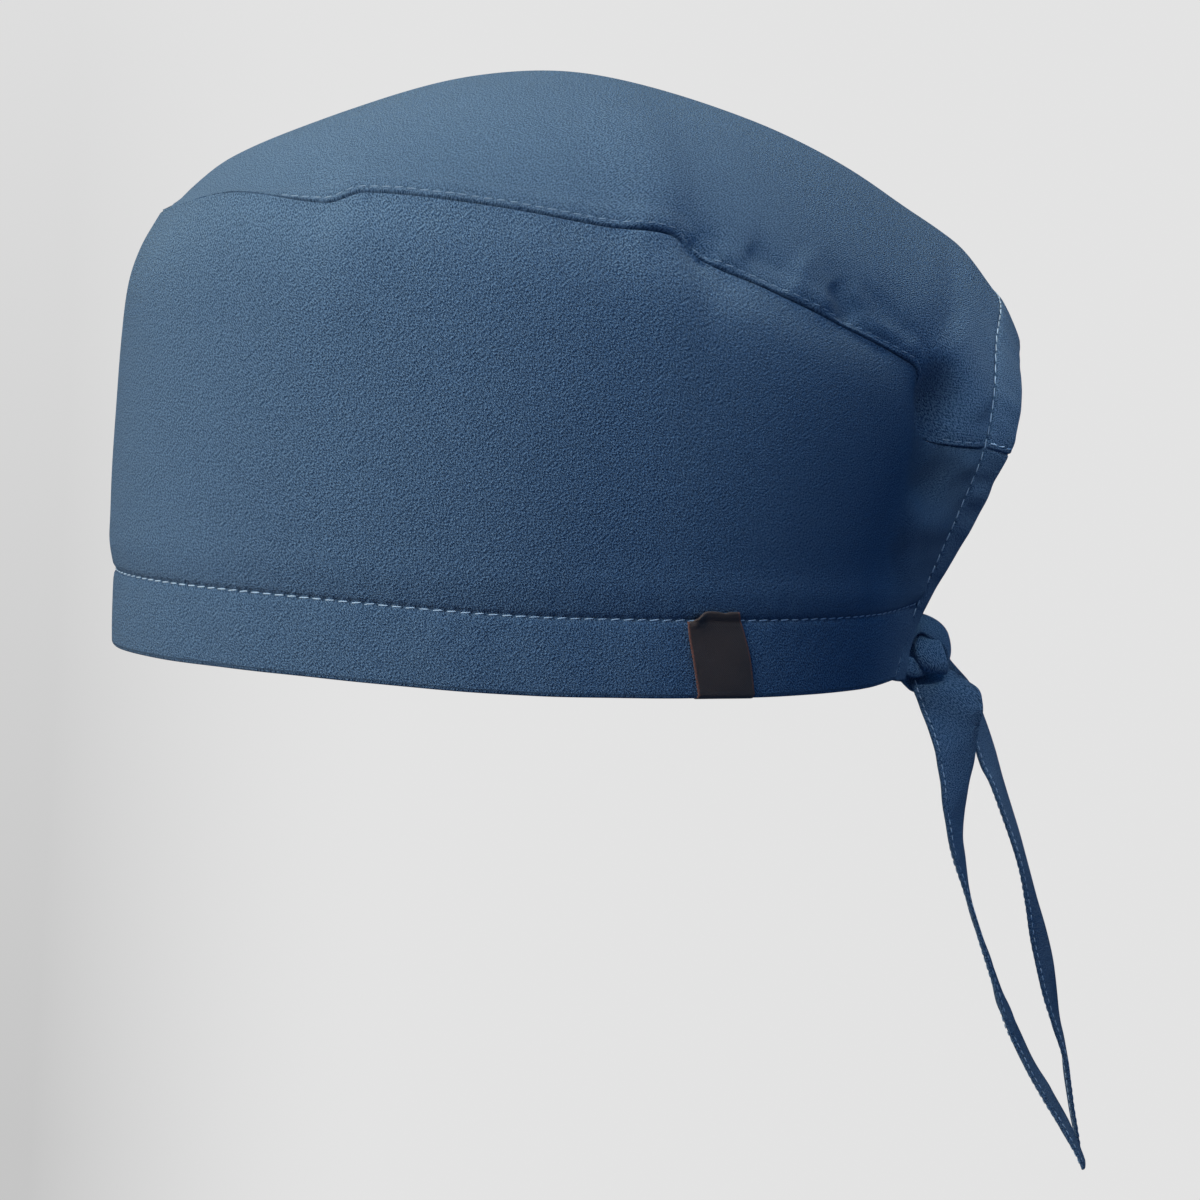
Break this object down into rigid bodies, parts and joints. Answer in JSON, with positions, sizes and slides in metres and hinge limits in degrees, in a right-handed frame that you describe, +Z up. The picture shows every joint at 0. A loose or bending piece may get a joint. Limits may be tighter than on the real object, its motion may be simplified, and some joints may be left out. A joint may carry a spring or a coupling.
{
  "type": "scrub cap",
  "caption": "Soft cloth scrub cap with a side band, gathered crown, doubled hem and a tied drawstring opening at the back.",
  "frame": {"origin": "centre of the head opening, in the plane of the rim", "axes": "+Z up through the crown, -Y towards the forehead, +Y towards the back opening and its ties, +X towards the wearer's left"},
  "size_m": [0.1706, 0.2695, 0.2818],
  "materials": {
    "cap_cloth": "fine twill, softly matt",
    "label_tape": "black woven tape"
  },
  "bodies": {
    "root": {"crown_panel": "cap_cloth", "side_panel": "cap_cloth", "hem_band": "cap_cloth", "back_casing": "cap_cloth", "tie_knot": "cap_cloth", "tie_left": "cap_cloth", "tie_right": "cap_cloth", "side_label": "label_tape"}
  },
  "joints": []
}
